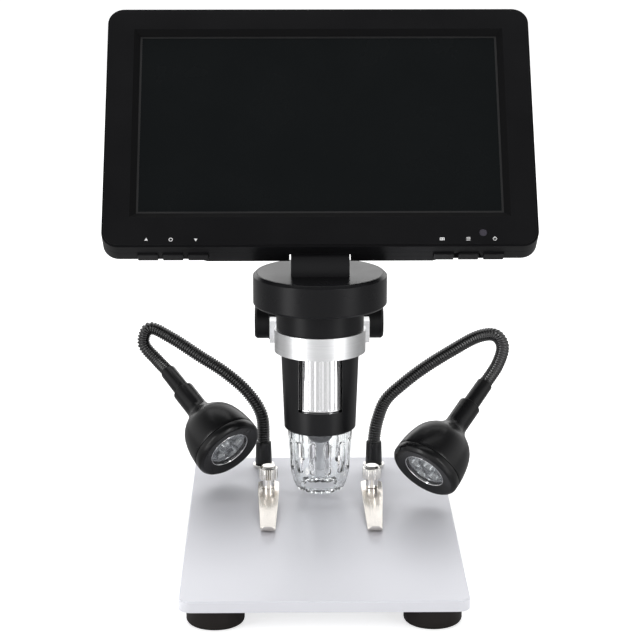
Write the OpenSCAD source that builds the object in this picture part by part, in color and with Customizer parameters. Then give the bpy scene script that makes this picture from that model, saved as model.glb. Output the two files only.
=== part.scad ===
// Bench digital microscope: a camera head with a tilting screen, held by a rack column on a metal
// base, with two gooseneck lamps and two stage clips. Millimetres. The floor is z = 0, +Y points to
// the rear, and the origin lies under the middle of the whole object.

/* [Base] */
// Width of the base plate
base_w = 110.6; // [101:0.1:130]
// Depth of the base plate
base_d = 181.5; // [178:0.5:200]
// Thickness of the base plate
base_t = 4.5; // [4:0.5:6]
// Corner radius of the base plate, in plan
base_corner_r = 5; // [2:0.5:9]
// Edge break around the top of the base plate
base_edge = 0.5; // [0.2:0.1:0.8]
// Diameter of a rubber foot
foot_d = 22.4; // [19:0.1:24]
// Height of a rubber foot
foot_h = 8.5; // [8:0.5:12]
// Distance of a foot's centre from the plate's edges
foot_inset = 13.7; // [12.8:0.1:16]

/* [Column and focus drive] */
// Diameter of the column
column_d = 12; // [11.6:0.1:12.6]
// Height of the column's top above the plate
column_h = 117; // [112:1:119]
// Depth of the flat that the rack's tooth tips lie on
rack_flat = 0.6; // [0.5:0.05:0.8]
// Module of the rack and pinion
gear_module = 0.8; // [0.78:0.01:0.82]
// Teeth on the pinion
pinion_teeth = 12; // [12:1:12]
// Width of the pinion
pinion_w = 4.6; // [3.5:0.1:4.8]
// Diameter of the pinion shaft
shaft_d = 4; // [3:0.1:4.4]
// Diameter of a focus knob
knob_d = 16; // [14:0.5:18]
// Distance between the outer ends of the two focus knobs
knob_span = 56; // [50:1:62]
// Height of the pinion shaft above the ring bracket's lower face
shaft_rise = 4.7; // [4.2:0.1:5.2]

/* [Head] */
// Distance of the optical axis from the plate's rear edge
axis_from_rear = 54.3; // [53:0.1:56]
// Height of the ring bracket's lower face
ring_z = 77.5; // [76:0.5:79]
// Height of the ring bracket
ring_h = 9.5; // [9:0.5:10]
// Outer diameter of the ring
ring_d = 38.6; // [38:0.1:42]
// Diameter of the tube at its top
tube_d = 33; // [32:0.1:33.4]
// Diameter of the tube at its lower end
tube_low_d = 30.4; // [29.6:0.1:31]
// Length of the tube below the ring bracket
tube_drop = 34; // [32.5:0.5:34]
// Width of each finger window in the tube
window_w = 18.4; // [15:0.2:19]
// Height of the windows' lower edge above the tube's end
window_rise = 10.1; // [9.5:0.1:11]
// Diameter of the neck above the ring
neck_d = 37; // [36:0.1:38]
// Height of the neck above the ring
neck_h = 10.5; // [9:0.5:12]
// Diameter of the control disc
disc_d = 56.4; // [54:0.1:60]
// Height of the control disc
disc_h = 13.9; // [12:0.1:14.5]
// Length of the clear hood below the tube
hood_drop = 26.8; // [25:0.1:26.8]
// Diameter of the clear hood at its lower rim
hood_low_d = 20.7; // [19.5:0.1:23]
// Wall of the clear hood
hood_wall = 1.6; // [1.2:0.1:1.8]
// Diameter of the lens barrel's nose
nose_d = 11.8; // [10.5:0.1:12.4]
// Number of ribs on the focus wheel
wheel_ribs = 40; // [32:2:44]

/* [Screen] */
// Width of the screen unit
screen_w = 181; // [176:1:190]
// Height of the screen unit
screen_h = 114; // [111:1:118]
// Thickness of the screen unit at its sides
screen_t = 13; // [12.6:0.1:14]
// Depth of the hump on the rear of the screen unit
hump_t = 9; // [8.5:0.5:11]
// Width of the hump
hump_w = 94; // [84:1:100]
// Corner radius of the screen unit
screen_corner_r = 7; // [5:0.5:9]
// Depth of the front bezel, from the front to the seam
bezel_t = 6; // [5.8:0.1:6.3]
// Width of the opening for the display
view_w = 153; // [148:0.5:154]
// Height of the opening for the display
view_h = 85; // [80:0.5:86]
// Margin under the display opening
view_low = 16.1; // [15.6:0.1:17]
// Wall of the screen's housing
shell_wall = 1.8; // [1.5:0.1:2.2]
// Lean of the screen from upright, in degrees
screen_lean = 38; // [34:1:42]
// Height of the tilt hinge above the control disc
hinge_rise = 10.1; // [9.8:0.1:11]
// Diameter of the tilt hinge's barrel
barrel_d = 8; // [7:0.1:8.2]
// Width of the tilt hinge's barrel and stem
stem_w = 24.4; // [22:0.2:25]
// Diameter of the tilt hinge's pin
pin_d = 3; // [2.5:0.1:3.4]
// Length of a key
key_w = 8.3; // [7.5:0.1:8.8]
// Thickness of a key
key_t = 4.8; // [4:0.1:4.9]
// Height that a key stands out of the housing
key_out = 0.8; // [0.7:0.1:1]

/* [Stage clips] */
// Distance of a clip's post from the centreline
clip_x = 22; // [21:0.5:24]
// Distance of the clips' posts in front of the optical axis
clip_front = 7; // [5:0.5:10]
// Width of a clip at its root
clip_w = 9; // [8:0.1:10]
// Width of a clip at its tip
clip_tip_w = 6; // [5:0.1:7]
// Thickness of a clip's spring strip
clip_t = 0.8; // [0.6:0.05:1]
// Length of a clip, from its post to its tip
clip_len = 46; // [42:1:50]
// Height of a clip's root above the plate
clip_lift = 5; // [4.5:0.1:6]
// Diameter of a clip's knob
clip_knob_d = 8; // [7:0.1:9]
// Diameter of a clip's post
post_d = 3; // [2.6:0.1:3.4]

/* [Lamps] */
// Distance of a lamp's foot from the plate's side
lamp_side = 30.7; // [29:0.1:33]
// Distance of the lamps' feet behind the optical axis
lamp_back = 41; // [39:0.5:43]
// Height of a lamp's ferrule above its nut
ferrule_h = 10; // [8:0.5:12]
// Diameter of a gooseneck over its ribs
neck_rib_d = 5.7; // [5:0.1:6]
// Depth of the grooves between a gooseneck's ribs
rib_depth = 0.35; // [0.2:0.05:0.5]
// Ribs on each gooseneck
neck_ribs = 88; // [40:4:96]
// Bore of a gooseneck
neck_bore = 2.4; // [2:0.1:3]
// Diameter of a lamp's face
lamp_d = 30.6; // [28:0.2:32]
// Length of a lamp's head behind its face, without its sleeve
lamp_len = 39; // [36:0.5:42]
// Length of the sleeve that joins a lamp to its gooseneck
sleeve_len = 12.7; // [10:0.1:15]
// Diameter of a lamp's window
lamp_window_d = 17.8; // [16:0.5:21]

/* [Clearances] */
// Radial gap between a turning pin and its bore
running_gap = 0.05; // [0.03:0.01:0.08]
// Gap between parts that move past each other
moving_gap = 0.4; // [0.35:0.05:0.5]
// Gap between parts that are fixed together
fixed_gap = 0.1; // [0.05:0.05:0.15]
// Gap at the flanks of the gear teeth
tooth_gap = 0.12; // [0.1:0.02:0.2]

/* [Hidden] */
$fn = 64;
eps = 0.01;

// Places that several parts share
plate_z = foot_h;
stage_z = foot_h + base_t;
front_reach = 127.2;
rear_reach = 63.8;
optical_y = (front_reach - rear_reach) / 2;
plate_rear_y = optical_y + axis_from_rear;
plate_mid_y = plate_rear_y - base_d / 2;
lamp_x = base_w / 2 - lamp_side;
ring_top_z = ring_z + ring_h;
disc_z = ring_top_z + neck_h;
disc_top_z = disc_z + disc_h;

// Gear geometry: the teeth have 25 degree flanks
pressure_angle = 25;
pitch_r = gear_module * pinion_teeth / 2;
tip_r = pitch_r + gear_module;
root_r = pitch_r - 1.25 * gear_module;
base_r = pitch_r * cos(pressure_angle);
tooth_pitch = PI * gear_module;
column_r = column_d / 2;
shaft_back = 32;
shaft_y = optical_y + shaft_back;
shaft_z = ring_z + shaft_rise;
column_y = shaft_y + pitch_r - gear_module + column_r - rack_flat;
rack_y = column_y - column_r + rack_flat;

// Tube, wheel and lens
tube_r = tube_d / 2;
tube_low_r = tube_low_d / 2;
tube_z = ring_z - tube_drop;
window_z = tube_z + window_rise;
window_top_z = ring_z + 1;
wheel_pocket_r = tube_low_r - 0.8;
wheel_r = wheel_pocket_r - moving_gap;
wheel_rib_depth = 0.7;
ring_bore_r = tube_r + moving_gap;
barrel_r = 7;
thread_r = 8.4;
nose_z = 36.6;

// Screen unit, in its own frame: X along its width, Y through it from the front, Z up along it
hinge_in = 12.3;
hinge_up = 4;
hinge_y = optical_y - 3.85;
hinge_z = disc_top_z + hinge_rise;
notch_w = stem_w + 1.2;
notch_h = 9;
notch_in = hinge_in - barrel_d / 2 - 0.3;
key_in = 9.3;
key_places = [
    -screen_w / 2 + 19, -screen_w / 2 + 29.4, -screen_w / 2 + 39.9,
    screen_w / 2 - 39.3, screen_w / 2 - 29, screen_w / 2 - 18.5
];
rear_t = screen_t + hump_t;
boss_d = 6;
// Ports in the left side: height up the side, length and width
port_places = [[50, 8, 3], [66, 13, 2.2]];
screw_in = 7.5;
screw_places = [
    for (z = [8.5, screen_h - 7], x = [-1, 1]) [x * (screen_w / 2 - screw_in), z]
];

// Lamps: each route starts on its ferrule and ends in its lamp's sleeve
lamp_left_route = [
    [0, 0, 0], [-0.8, 0, 12.5], [-7, 1.5, 22.5], [-17, 4.6, 30.8], [-28.4, 8, 37.5],
    [-40.4, 12, 44.5], [-50.6, 14.8, 48.6], [-53.4, 13.5, 41.8], [-47.6, 9.9, 35.4], [-42.5, 5.3, 31.3]
];
lamp_left_aim = [0.55, -0.65, -0.52];
lamp_right_route = [
    [0, 0, 0], [1.2, 0, 8.5], [5, 0, 18.8], [13, -0.9, 27], [22.5, -2.1, 34.8], [34, -4.7, 43],
    [44.5, -8.4, 50], [52, -12.8, 52], [55.1, -17, 47.8], [52.4, -22.6, 41.1], [46.7, -28.7, 34.5]
];
lamp_right_aim = [-0.545, -0.6, -0.585];
neck_sides = 8;
route_steps = 120;
nut_h = 1.5;
ferrule_z = stage_z + nut_h;
neck_start_z = ferrule_z + ferrule_h;
neck_hold = 3;
shade_wall = 1.4;

// ---- shared shapes -------------------------------------------------------------------------

// A rectangle with round corners, centred
module rounded_rect(w, d, r) {
    square([w - 2 * r, d], center = true);
    square([w, d - 2 * r], center = true);
    for (x = [-1, 1], y = [-1, 1])
        translate([x * (w / 2 - r), y * (d / 2 - r)]) circle(r);
}

// A plate with round corners whose lower face is at z = 0
module rounded_plate(w, d, h, r) {
    linear_extrude(h) rounded_rect(w, d, r);
}

// A straight ring
module ring(r_out, r_in, h) {
    difference() {
        cylinder(h = h, r = r_out);
        translate([0, 0, -1]) cylinder(h = h + 2, r = r_in);
    }
}

// A pan head screw whose head's underside is at z = 0 and whose shank points down
module pan_screw(d, length) {
    difference() {
        rotate_extrude() polygon([
            [0, 0.55 * d], [0.6 * d, 0.55 * d], [0.85 * d, 0.3 * d], [0.9 * d, 0],
            [d / 2, 0], [d / 2, -length], [0, -length]
        ]);
        for (a = [0, 90]) rotate(a)
            translate([0, 0, 0.55 * d]) cube([d, d / 5, 0.5 * d], center = true);
    }
}

// A round body with straight knurling: the grooves are cut along its axis
module knurled(r, h, grooves, depth) {
    difference() {
        cylinder(h = h, r = r);
        for (i = [0 : grooves - 1]) rotate(i * 360 / grooves)
            translate([r + depth * 0.3, 0, -1]) rotate(45) linear_extrude(h + 2)
                square(depth * 1.6, center = true);
    }
}

module on_foot_places(z) {
    for (x = [-1, 1], y = [-1, 1])
        translate([x * (base_w / 2 - foot_inset), plate_mid_y + y * (base_d / 2 - foot_inset), z])
            children();
}

module on_optical_axis(z) {
    translate([0, optical_y, z]) children();
}

// ---- base ----------------------------------------------------------------------------------

module base_plate() color("gainsboro") difference() {
    translate([0, plate_mid_y, plate_z]) {
        rounded_plate(base_w, base_d, base_t - base_edge, base_corner_r);
        translate([0, 0, base_t - base_edge]) plate_edge();
    }
    on_foot_places(plate_z - 1) cylinder(h = 4, d = 3);
    translate([0, column_y, plate_z - 1]) cylinder(h = base_t + 2, d = column_bolt_d + 0.4);
    translate([0, column_y, plate_z - 1]) cylinder(h = 1 + bolt_sink, d = column_bolt_head + 0.4);
    for (s = [-1, 1]) {
        translate([s * lamp_x, optical_y + lamp_back, plate_z - 1])
            cylinder(h = base_t + 2, d = lamp_stud_d);
        translate([s * clip_x, optical_y - clip_front, plate_z - 1])
            cylinder(h = base_t + 2, d = post_d);
    }
}

// The break around the plate's upper edge
module plate_edge() {
    linear_extrude(base_edge)
        rounded_rect(base_w - 2 * base_edge, base_d - 2 * base_edge, base_corner_r - base_edge);
}

foot_sink = 3;
foot_screw_d = 3;
module feet() color("#232020") on_foot_places(0) rotate_extrude() polygon([
    [foot_screw_d / 2 + 0.2, foot_sink], [4, foot_sink], [4, 0], [foot_d / 2 - 1.2, 0],
    [foot_d / 2, 1.2], [foot_d / 2, foot_h], [foot_screw_d / 2 + 0.2, foot_h]
]);

module foot_screws() color("silver")
    on_foot_places(foot_sink) mirror([0, 0, 1]) pan_screw(foot_screw_d, foot_h - foot_sink + 3);

// The column stands on the plate, and the rack's teeth are cut across its front
module column() color("silver") difference() {
    translate([0, column_y, stage_z]) cylinder(h = column_h, r = column_r);
    translate([-column_d, column_y - column_d, rack_low_z])
        cube([2 * column_d, rack_y - column_y + column_d, rack_teeth * tooth_pitch]);
    for (i = [0 : rack_teeth - 1]) translate([0, rack_y, rack_low_z + (i + 0.5) * tooth_pitch])
        rack_gap();
    translate([0, column_y, stage_z - 1]) cylinder(h = 13, d = column_bolt_d);
}

rack_teeth = 25;
rack_low_z = shaft_z - 6.5 * tooth_pitch;
column_bolt_d = 5;
column_bolt_head = 9.5;
bolt_sink = 2.6;

// The space between two rack teeth, across the column, with its mouth at y = 0
module rack_gap() {
    depth = 2.25 * gear_module;
    half = tooth_pitch / 4;
    rise = tan(pressure_angle);
    rotate([90, 0, 90]) linear_extrude(2 * column_d, center = true) polygon([
        [-1, half + gear_module * rise + rise], [depth, half - (depth - gear_module) * rise],
        [depth, -half + (depth - gear_module) * rise], [-1, -half - gear_module * rise - rise]
    ]);
}

module column_cap() color("#1c1c1e") translate([0, column_y, stage_z + column_h])
    rotate_extrude() polygon([
        [0, 0], [column_r, 0], [column_r, 2], [column_r - 1, 3], [0, 3]
    ]);

// A socket head bolt from below holds the column
module column_bolt() color("dimgray") translate([0, column_y, plate_z]) difference() {
    union() {
        cylinder(h = bolt_sink, d = column_bolt_head);
        cylinder(h = base_t + 10, d = column_bolt_d);
    }
    translate([0, 0, -1]) cylinder(h = 2.5, d = 4.6, $fn = 6);
}

lamp_stud_d = 6;
lamp_nut_d = 9.6;
module lamp_nuts() color("silver") for (s = [-1, 1])
    translate([s * lamp_x, optical_y + lamp_back, stage_z])
        difference() {
            cylinder(h = nut_h - fixed_gap, d = lamp_nut_d);
            translate([0, 0, -1]) cylinder(h = nut_h + 2, d = lamp_stud_d);
        }

// Soft sleeves under the plate, where the lamps' wires leave their threaded studs
module cable_glands() color("#1c1c1e") for (s = [-1, 1])
    translate([s * lamp_x, optical_y + lamp_back, plate_z - 5]) rotate_extrude() polygon([
        [1.2, 0], [2.6, 0], [3.6, 5], [1.2, 5]
    ]);

// ---- stage clips ---------------------------------------------------------------------------

collar_d = 5.5;
clip_z = stage_z + clip_lift;
clip_knob_z = clip_z + clip_t + 0.2;
clip_knob_h = 9.6;
clip_neck_h = 4;
clip_neck_d = 5.1;
clip_knob_ribs = 24;

module clip_posts() color("silver") for (s = [-1, 1])
    translate([s * clip_x, optical_y - clip_front, 0]) {
        translate([0, 0, plate_z]) cylinder(h = clip_knob_z + clip_knob_h - 2 - plate_z, d = post_d);
        translate([0, 0, stage_z]) cylinder(h = clip_lift - fixed_gap, d = collar_d);
    }

// A strip of spring steel: flat over its post, sloping down to the stage, and curled up at its tip
module clip_strip() {
    rear = 9.5;
    drop = clip_lift - 0.15;
    difference() {
        intersection() {
            rotate([90, 0, 90]) linear_extrude(2 * clip_w, center = true) polygon([
                [rear, 0], [-4, 0], [-clip_len + 9, -drop], [-clip_len + 6.5, -drop],
                [-clip_len + 3, -drop + 1], [-clip_len, -drop + 3.2],
                [-clip_len - 0.2, -drop + 3.2 + clip_t], [-clip_len + 2.6, -drop + 1 + clip_t],
                [-clip_len + 6.2, -drop + clip_t], [-clip_len + 8.8, -drop + clip_t],
                [-3.8, clip_t], [rear, clip_t]
            ]);
            translate([0, 0, -10]) linear_extrude(20) {
                polygon([
                    [-clip_w / 2, rear - 2], [-clip_w / 2 + 2, rear], [clip_w / 2 - 2, rear],
                    [clip_w / 2, rear - 2], [clip_w / 2, -5], [clip_tip_w / 2, 4 - clip_len],
                    [clip_tip_w / 2, 2.5 - clip_len], [1.5, -clip_len - 0.3],
                    [-1.5, -clip_len - 0.3], [-clip_tip_w / 2, 2.5 - clip_len],
                    [-clip_tip_w / 2, 4 - clip_len], [-clip_w / 2, -5]
                ]);
            }
        }
        translate([0, 0, -1]) cylinder(h = clip_t + 2, r = post_d / 2 + running_gap);
    }
}

module clip(s) color("#c9c2b4")
    translate([s * clip_x, optical_y - clip_front, clip_z]) clip_strip();
module clip_left() clip(-1);
module clip_right() clip(1);

// A knurled nut with a domed top that clamps the clip on its post
module clip_knob(s) color("#d2cbbd")
    translate([s * clip_x, optical_y - clip_front, clip_knob_z]) difference() {
        union() {
            cylinder(h = clip_neck_h, d = clip_neck_d);
            translate([0, 0, clip_neck_h])
                knurled(clip_knob_d / 2, clip_knob_h - 1 - clip_neck_h, clip_knob_ribs, 0.45);
            translate([0, 0, clip_knob_h - 1]) cylinder(h = 1, r1 = 3.4, r2 = 2.7);
        }
        translate([0, 0, -1]) cylinder(h = clip_knob_h - 0.5, r = post_d / 2 + running_gap);
    }
module clip_knob_left() clip_knob(-1);
module clip_knob_right() clip_knob(1);

// ---- carriage ------------------------------------------------------------------------------

flange_w = 42.8;
flange_y = optical_y + 12;
flange_t = 8;
housing_w = 26;
housing_y = flange_y + flange_t;
housing_low_z = ring_z - 7.5;
housing_h = 25;
bush_wall = 1.5;
shaft_bush_r = tip_r + 0.4;
shaft_bush_t = 3;
screw_x = 7;
screw_seat_y = optical_y + 17.6;
screw_len = 7;

// The ring that carries the head, with the plate behind it that is screwed to the carriage
module ring_bracket() color("#c8c8cc") difference() {
    union() {
        on_optical_axis(ring_z) {
            cylinder(h = ring_h, d = ring_d);
            translate([-ring_d / 2 + 5, 0, 0]) cube([ring_d - 10, 14, ring_h]);
        }
        translate([-flange_w / 2, flange_y, ring_z]) cube([flange_w, flange_t, ring_h]);
    }
    on_optical_axis(ring_z - 1) cylinder(h = ring_h + 2, r = ring_bore_r);
    carriage_screw_places(optical_y + 8) {
        cylinder(h = housing_y - optical_y, d = 3.2);
        cylinder(h = screw_seat_y - optical_y - 8, d = 6);
    }
}

// Screws pass from inside the ring, behind the tube, into the carriage
module carriage_screw_places(y) {
    for (s = [-1, 1]) translate([s * screw_x, y, ring_z + ring_h / 2]) rotate([-90, 0, 0])
        children();
}

// The block that slides on the column and carries the pinion's shaft
module carriage_housing() color("#1c1c1e") difference() {
    translate([0, 0, housing_low_z]) linear_extrude(housing_h) {
        translate([-housing_w / 2, housing_y]) square([housing_w, column_y - housing_y]);
        translate([0, column_y]) circle(housing_w / 2);
    }
    translate([0, column_y, housing_low_z - 1])
        cylinder(h = housing_h + 2, r = column_r + moving_gap);
    for (z = [housing_low_z - 1, housing_low_z + housing_h - bush_h]) translate([0, column_y, z])
        cylinder(h = bush_h + 1, r = bush_r);
    translate([-housing_w / 2 - 1, shaft_y, shaft_z]) rotate([0, 90, 0])
        cylinder(h = housing_w + 2, r = shaft_bush_r);
    carriage_screw_places(housing_y - 1) cylinder(h = 6, d = 3);
}

bush_h = 4;
bush_r = column_r + bush_wall;
module slide_bushes() color("#b08d3c")
    for (z = [housing_low_z, housing_low_z + housing_h - bush_h]) translate([0, column_y, z])
        ring(bush_r, column_r + running_gap, bush_h);

module shaft_bushes() color("#b08d3c")
    for (x = [-housing_w / 2, housing_w / 2 - shaft_bush_t]) translate([x, shaft_y, shaft_z])
        rotate([0, 90, 0]) ring(shaft_bush_r, shaft_d / 2 + running_gap, shaft_bush_t);

module carriage_screws() color("silver") carriage_screw_places(screw_seat_y)
    mirror([0, 0, 1]) pan_screw(3, screw_len);

// ---- focus drive ---------------------------------------------------------------------------

// One flank of an involute tooth, as points in polar form from its foot to its tip
function involute(angle) = tan(angle) * 180 / PI - angle;
flank_steps = 4;
function flank(side) = [
    for (i = [0 : flank_steps])
        let (
            r = base_r + (tip_r - base_r) * i / flank_steps,
            half = 90 / pinion_teeth - tooth_gap / pitch_r * 90 / PI
                + involute(pressure_angle) - involute(acos(min(1, base_r / r)))
        )
        [r, side * half]
];
function reversed(list) = [for (i = [len(list) - 1 : -1 : 0]) list[i]];
function tooth_points(turn) = [
    for (p = concat(
        [[root_r, -flank(1)[0][1] - 2]], flank(-1), reversed(flank(1)),
        [[root_r, flank(1)[0][1] + 2]]
    )) p[0] * [cos(turn + p[1]), sin(turn + p[1])]
];

module pinion_shaft() color("silver") translate([0, shaft_y, shaft_z]) rotate([90, 0, 90]) {
    translate([0, 0, -knob_span / 2 + 3]) cylinder(h = knob_span - 6, d = shaft_d);
    linear_extrude(pinion_w, center = true) polygon([
        for (i = [0 : pinion_teeth - 1]) each tooth_points(i * 360 / pinion_teeth)
    ]);
}

// A knob with a knurled inner part and a smooth outer part, pressed on the shaft
knob_ribs = 36;
module focus_knob(s) color("#19191b") translate([0, shaft_y, shaft_z]) rotate([0, s * 90, 0])
    difference() {
        union() {
            translate([0, 0, knob_in]) cylinder(h = 2, d = knob_d - 4);
            translate([0, 0, knob_in + 1.5]) knurled(knob_d / 2, 7, knob_ribs, 0.5);
            translate([0, 0, knob_in + 8]) cylinder(h = knob_smooth, d = knob_d - 1);
            translate([0, 0, knob_in + 8 + knob_smooth])
                cylinder(h = 1, r1 = knob_d / 2 - 0.5, r2 = knob_d / 2 - 1.5);
        }
        translate([0, 0, knob_in - 1]) cylinder(h = knob_span / 2 - knob_in - 2, d = shaft_d);
    }
knob_in = housing_w / 2 + moving_gap;
knob_smooth = knob_span / 2 - knob_in - 9;
module focus_knob_left() focus_knob(-1);
module focus_knob_right() focus_knob(1);

// ---- head ----------------------------------------------------------------------------------

head_wall = 2.2;
cap_inset = 1.6;
cap_t = 3;
tube_top_z = disc_z - 1;
head_screw_places = [45, 135, 225, 315];
head_screw_r = disc_d / 2 - 6.5;

// The neck and the disc above it, as one open shell
module head_body() color("#1a1a1c") on_optical_axis(ring_top_z) difference() {
    rotate_extrude() polygon([
        [tube_r + fixed_gap, fixed_gap], [neck_d / 2, fixed_gap], [neck_d / 2, neck_h],
        [disc_d / 2 - 1, neck_h], [disc_d / 2, neck_h + 1], [disc_d / 2, neck_h + disc_h - 1.2],
        [disc_d / 2 - 1.2, neck_h + disc_h], [disc_d / 2 - cap_inset, neck_h + disc_h],
        [disc_d / 2 - cap_inset, neck_h + disc_h - cap_t],
        [disc_d / 2 - cap_inset - 0.8, neck_h + disc_h - cap_t],
        [disc_d / 2 - cap_inset - 0.8, neck_h + head_wall], [tube_r + fixed_gap, neck_h + head_wall]
    ]);
    translate([0, 0, neck_h - 1]) head_bosses() cylinder(h = head_wall + 2, d = 2.3);
}

module head_bosses() {
    for (a = head_screw_places) rotate(a) translate([head_screw_r, 0, 0])
        children();
}

// The disc's lid with the stem and barrel of the screen's hinge
module head_cap() color("#1a1a1c") difference() {
    union() {
        on_optical_axis(disc_top_z - cap_t + fixed_gap) {
            cylinder(h = cap_t - fixed_gap, r = disc_d / 2 - cap_inset - fixed_gap);
            head_bosses() translate([0, 0, -disc_h + head_wall + cap_t])
                cylinder(h = disc_h - head_wall - cap_t + 0.5, d = 6);
        }
        translate([-stem_w / 2, 0, 0]) rotate([90, 0, 90]) linear_extrude(stem_w) polygon([
            [stem_front_y, disc_top_z - 0.5], [stem_front_y, disc_top_z + 4.6],
            [hinge_y - barrel_d / 2 + 0.2, hinge_z - 1.2], [hinge_y, hinge_z],
            [hinge_y + barrel_d / 2 - 0.1, hinge_z - 0.9], [hinge_y + 6.2, disc_top_z + 3],
            [hinge_y + 6.2, disc_top_z - 0.5]
        ]);
        translate([-stem_w / 2, hinge_y, hinge_z]) rotate([0, 90, 0])
            cylinder(h = stem_w, d = barrel_d);
    }
    translate([-stem_w, hinge_y, hinge_z]) rotate([0, 90, 0])
        cylinder(h = 2 * stem_w, r = pin_d / 2 + running_gap);
    on_optical_axis(disc_z) head_bosses() translate([0, 0, -1]) cylinder(h = 9, d = 2);
}
stem_front_y = optical_y - 10;

// Screws from under the disc hold its lid
module head_screws() color("silver") on_optical_axis(disc_z) head_bosses()
    mirror([0, 0, 1]) pan_screw(2, 6);

// The tube narrows downwards and has a finger window in front and another behind
module tube_shell() color("#161618") on_optical_axis(0) difference() {
    rotate_extrude() polygon([
        [wheel_pocket_r - 1.2, tube_z], [tube_low_r - 0.8, tube_z], [tube_low_r, tube_z + 0.8],
        [tube_r, ring_z], [tube_r, tube_top_z], [wheel_pocket_r, tube_top_z],
        [wheel_pocket_r, window_z - 0.6], [wheel_pocket_r - 1.2, window_z - 0.6]
    ]);
    translate([-window_w / 2, -tube_d, window_z]) cube([window_w, 2 * tube_d, window_top_z - window_z]);
}

board_z = disc_z - 6;
module sensor_board() color("darkgreen") on_optical_axis(board_z)
    cylinder(h = 1.6, r = wheel_pocket_r - fixed_gap);

module image_sensor() color("#202024") on_optical_axis(board_z - 2.2) {
    translate([-5, -5, 0.6]) cube([10, 10, 1.6]);
    translate([-3, -2, 0]) cube([6, 4, 0.7]);
}

// A ring board at the tube's end with eight lights that shine down through the hood
led_ring_z = tube_z + 1.2;
led_ring_r = wheel_pocket_r - 1.2 - fixed_gap;
module led_ring() color("whitesmoke") on_optical_axis(led_ring_z) {
    ring(led_ring_r, barrel_r + 1.2, 1.2);
    for (i = [0 : 7]) rotate(i * 45 + 22.5) translate([(led_ring_r + barrel_r + 1.2) / 2, 0, -0.8])
        cylinder(h = 0.9, d = 3);
}

// The clear hood: a rim that grips the tube's end, a taper with slots, and notches at its foot
hood_z = tube_z - hood_drop;
hood_r = tube_low_r - 0.8;
hood_mouth_r = 7.2;
hood_slots = 12;
slot_w = 2.6;
slot_h = 14;
slot_low = 10.3;
slot_start_r = hood_low_d / 2 - 3;
module clear_hood() color("azure", 0.4) on_optical_axis(0) difference() {
    rotate_extrude() polygon([
        [hood_mouth_r, hood_z], [hood_low_d / 2 - 0.9, hood_z], [hood_low_d / 2 - 0.2, hood_z + 0.5],
        [hood_low_d / 2 + 0.5, hood_z + 2], [hood_r - 2.7, hood_z + 4.4],
        [hood_r - 2, hood_z + 7.5], [hood_r - 1.6, hood_z + 12], [hood_r - 1, hood_z + 20],
        [hood_r - 0.6, tube_z - fixed_gap], [led_ring_r, tube_z - fixed_gap],
        [led_ring_r, led_ring_z - fixed_gap], [led_ring_r - 0.6, led_ring_z - fixed_gap],
        [hood_r - hood_wall - 1, hood_z + 20], [hood_r - hood_wall - 1.6, hood_z + 12],
        [hood_r - hood_wall - 2, hood_z + 7.5], [hood_r - hood_wall - 2.7, hood_z + 4.4],
        [hood_low_d / 2 - hood_wall + 0.3, hood_z + 2], [hood_mouth_r, hood_z + 1.6]
    ]);
    for (i = [0 : hood_slots - 1]) rotate((i + 0.5) * 360 / hood_slots) hood_slot();
    for (i = [0 : 3]) rotate(45 + i * 90)
        translate([0, -1.5, hood_z - 1]) cube([hood_r, 3, 2.6]);
}

// One slot: a round-ended opening through the hood's wall
module hood_slot() {
    translate([slot_start_r, 0, hood_z + slot_low]) rotate([90, 0, 90]) linear_extrude(hood_r) {
        translate([-slot_w / 2, 0]) square([slot_w, slot_h - slot_w]);
        circle(d = slot_w);
        translate([0, slot_h - slot_w]) circle(d = slot_w);
    }
}

wheel_z = window_z - 0.6 + fixed_gap;
wheel_top_z = ring_z + 5;
wheel_rim_h = 1.2;
rib_r = wheel_r - 0.1;
module focus_wheel() color("silver") on_optical_axis(wheel_z) difference() {
    union() {
        linear_extrude(wheel_top_z - wheel_z) wheel_outline();
        cylinder(h = wheel_rim_h, r = wheel_r);
    }
    translate([0, 0, -1]) cylinder(h = wheel_top_z - wheel_z + 2, r = thread_r + running_gap);
}

module wheel_outline() polygon([
    for (i = [0 : wheel_ribs - 1]) let (a = i * 360 / wheel_ribs, step = 360 / wheel_ribs)
        each [
            rib_r * [cos(a), sin(a)],
            rib_r * [cos(a + 0.42 * step), sin(a + 0.42 * step)],
            (rib_r - wheel_rib_depth) * [cos(a + 0.56 * step), sin(a + 0.56 * step)],
            (rib_r - wheel_rib_depth) * [cos(a + 0.86 * step), sin(a + 0.86 * step)]
        ]
]);

// The barrel is guided in the wheel, and ends below in a domed nose
module lens_barrel() color("#4a4a4e") on_optical_axis(0) rotate_extrude() polygon([
    [2.2, nose_z + 2.4], [1.8, nose_z + 1.6], [1.8, nose_z + 0.2],
    for (a = [20 : 10 : 90]) [nose_d / 2 * sin(a), nose_z + 4.6 - 4.6 * cos(a)],
    [nose_d / 2, tube_z + 4], [barrel_r, tube_z + 5], [barrel_r, window_z + 2],
    [thread_r, window_z + 3], [thread_r, window_z + 17], [5.5, window_z + 17],
    [5.5, nose_z + 8], [2.2, nose_z + 8]
]);

module objective_lens() color("lightcyan", 0.6) on_optical_axis(nose_z + 2.4) {
    cylinder(h = 5, r = 2.2 - fixed_gap / 2);
}

// ---- screen --------------------------------------------------------------------------------

// Turns and moves a piece from the screen's own frame to its place on the hinge
module on_screen() {
    translate([0, hinge_y, hinge_z]) rotate([-screen_lean, 0, 0])
        translate([0, -hinge_in, -hinge_up]) children();
}

// A slab across the screen's frame between two depths, with its outline centred on the screen
module screen_slab(from, to, inset, r) {
    translate([0, to, screen_h / 2]) rotate([90, 0, 0])
        linear_extrude(to - from) rounded_rect(screen_w - 2 * inset, screen_h - 2 * inset, r);
}

// The notch in the screen's lower wall, where the hinge's stem goes in
module stem_notch() {
    translate([-notch_w / 2, notch_in, -1]) cube([notch_w, rear_t, notch_h + 1]);
}

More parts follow.
